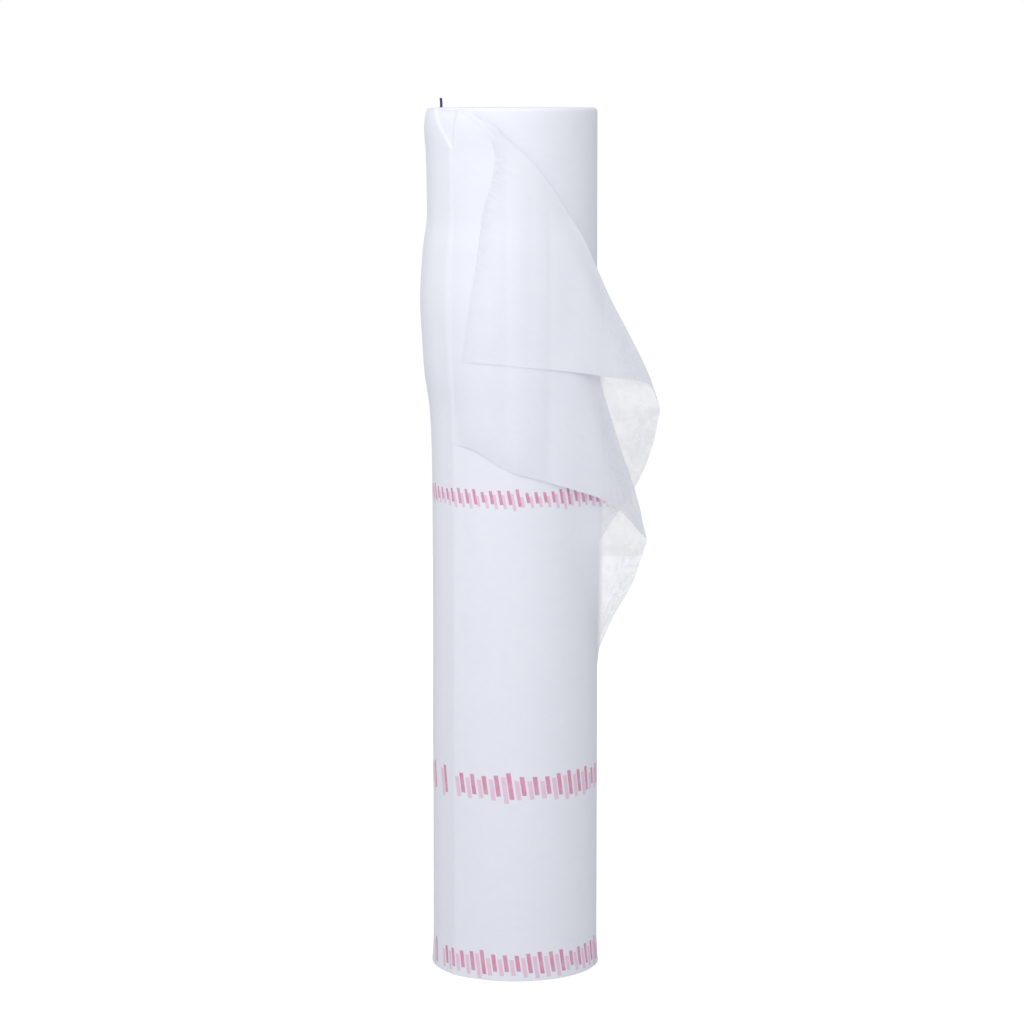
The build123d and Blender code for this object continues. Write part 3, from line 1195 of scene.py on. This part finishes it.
world = bpy.data.worlds.new("studio")
bpy.context.scene.world = world
world.use_nodes = True
world_tree = world.node_tree
world_tree.nodes.clear()
world_rays = add_node(world_tree, "ShaderNodeLightPath")
glossy_or_camera = calculate(
    world_tree, "MAXIMUM", (world_rays, "Is Camera Ray"), (world_rays, "Is Glossy Ray")
)
shows_white = calculate(world_tree, "MAXIMUM", glossy_or_camera, (world_rays, "Is Transmission Ray"))
glow = add_node(world_tree, "ShaderNodeBackground", {"Color": glow_colour, "Strength": world_light})
white = add_node(world_tree, "ShaderNodeBackground", {"Color": backdrop_white, "Strength": 1.0})
world_mix = add_node(world_tree, "ShaderNodeMixShader", {0: shows_white, 1: (glow, 0), 2: (white, 0)})
add_node(world_tree, "ShaderNodeOutputWorld", {"Surface": (world_mix, 0)})
print("world glow", world_light)

# %% [markdown]
# The floor is pale and matte, and glows for the camera alone until it is as white as the
# background. The roll's shadow still falls on it.

# %% Floor
floor_half = 4.0
floor_drop = 0.0005
floor_colour = (0.75, 0.76, 0.78, 1.0)
floor_glow_strength = 0.62

floor_mesh = bpy.data.meshes.new("studio_floor")
floor_corners = [(-1, -1), (1, -1), (1, 1), (-1, 1)]
floor_mesh.from_pydata([(x * floor_half, y * floor_half, 0) for x, y in floor_corners], [], [(0, 1, 2, 3)])
floor = bpy.data.objects.new("studio_floor", floor_mesh)
floor.location.z = -floor_drop
bpy.context.scene.collection.objects.link(floor)
floor_material = bpy.data.materials.new("pale_floor")
floor_material.use_nodes = True
floor_tree = floor_material.node_tree
floor_tree.nodes.clear()
floor_rays = add_node(floor_tree, "ShaderNodeLightPath")
floor_matte = add_node(floor_tree, "ShaderNodeBsdfDiffuse", {"Color": floor_colour})
floor_glow = add_node(floor_tree, "ShaderNodeEmission", {"Strength": floor_glow_strength})
floor_both = add_node(floor_tree, "ShaderNodeAddShader", {0: (floor_matte, 0), 1: (floor_glow, 0)})
floor_mix = add_node(
    floor_tree,
    "ShaderNodeMixShader",
    {0: (floor_rays, "Is Camera Ray"), 1: (floor_matte, 0), 2: (floor_both, 0)},
)
add_node(floor_tree, "ShaderNodeOutputMaterial", {"Surface": (floor_mix, 0)})
floor_mesh.materials.append(floor_material)
print("floor", 2 * floor_half, "m wide")

# %% [markdown]
# Two soft lamps give the roll its shape: a large one in front, well above it, and a small one at
# the upper left. So the right side, the lower part and the free corners turn a little grey.


# %% Lamps
def area_lamp(name, place, aim, width, height, power):
    """A soft rectangular lamp that points at a place."""
    lamp = bpy.data.objects.new(name, bpy.data.lights.new(name, "AREA"))
    lamp.data.shape = "RECTANGLE"
    lamp.data.size = width
    lamp.data.size_y = height
    lamp.data.energy = power
    lamp.location = place
    lamp.rotation_euler = (Vector(aim) - Vector(place)).to_track_quat("-Z", "Y").to_euler()
    bpy.context.scene.collection.objects.link(lamp)


lamps = (
    # name, place, aim, width, height, power
    ("key", (-0.30, -3.2, 2.9), (0, 0, 0.75), 2.0, 2.0, 52),
    ("fill", (-1.0, -0.8, 2.2), (0, 0, 1.1), 0.8, 1.0, 6),
)
for lamp_values in lamps:
    area_lamp(*lamp_values)
bpy.context.scene.view_settings.view_transform = "Standard"
print("lamps:", [lamp_values[0] for lamp_values in lamps])

# %% [markdown]
# Last, each piece is tied to the body that carries it, and the solids that the new pieces stand
# for are hidden.

# %% Tie the pieces to the frame
for piece in [roll, *ends, outer_piece, inner_piece]:
    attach(piece, "root")
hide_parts("wound_roll")
plies = ((outer_piece, outer_ply, "loose_outer_ply"), (inner_piece, inner_ply, "loose_inner_ply"))
for piece, ply, node in plies:
    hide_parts(node)
